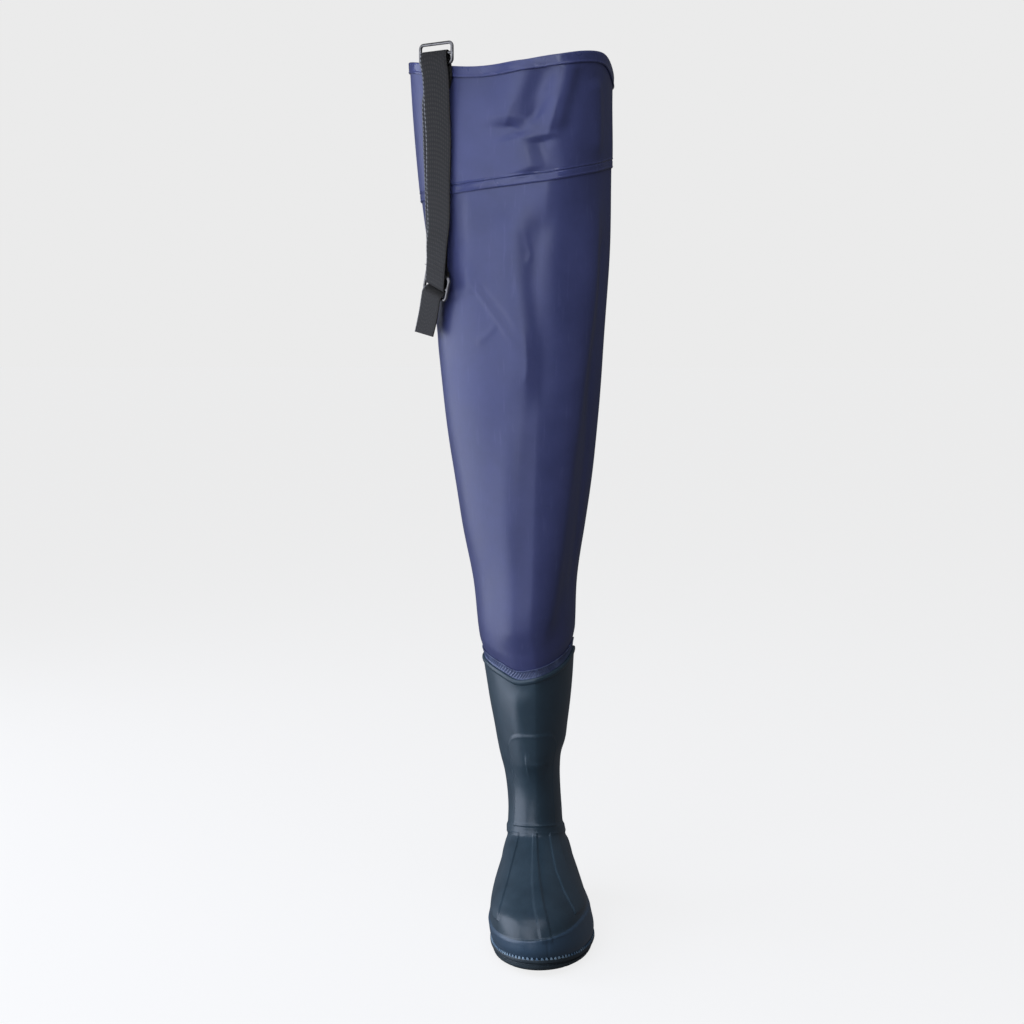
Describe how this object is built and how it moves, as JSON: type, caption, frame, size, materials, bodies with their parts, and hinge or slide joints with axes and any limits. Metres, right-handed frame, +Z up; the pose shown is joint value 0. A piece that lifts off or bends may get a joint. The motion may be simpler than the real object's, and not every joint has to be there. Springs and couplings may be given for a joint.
{
  "type": "hip wader",
  "caption": "Thigh-high wading boot: moulded plastic foot and shaft with a lugged sole, a welded coated-fabric leg, and a webbing belt strap with a metal ring and slider.",
  "frame": {"origin": "on the floor under the middle of the heel, on the sole's heel tread", "axes": "+Z up the leg; -Y towards the toe; +X towards the wearer's other foot, the medial side of a right foot"},
  "size_m": [0.2277, 0.3427, 0.9615],
  "materials": {
    "tread_rubber": "moulded, matt to satin, dark green-black",
    "insole_felt": "grey needle felt",
    "boot_plastic": "injection-moulded soft plastic, satin gloss, dark petrol",
    "weld_band": "hot-knurled weld band",
    "leg_fabric": "plastic-coated polyester, navy, satin gloss",
    "webbing": "ribbed black polypropylene webbing",
    "gunmetal": "gunmetal-plated steel wire"
  },
  "bodies": {
    "root": {"outsole": "tread_rubber", "insole": "insole_felt", "boot_upper": "boot_plastic", "weld_band": "weld_band", "leg_tube": "leg_fabric", "cuff": "leg_fabric", "hem": "leg_fabric", "belt_ring": "gunmetal", "adjuster": "gunmetal", "strap": "webbing"}
  },
  "joints": []
}
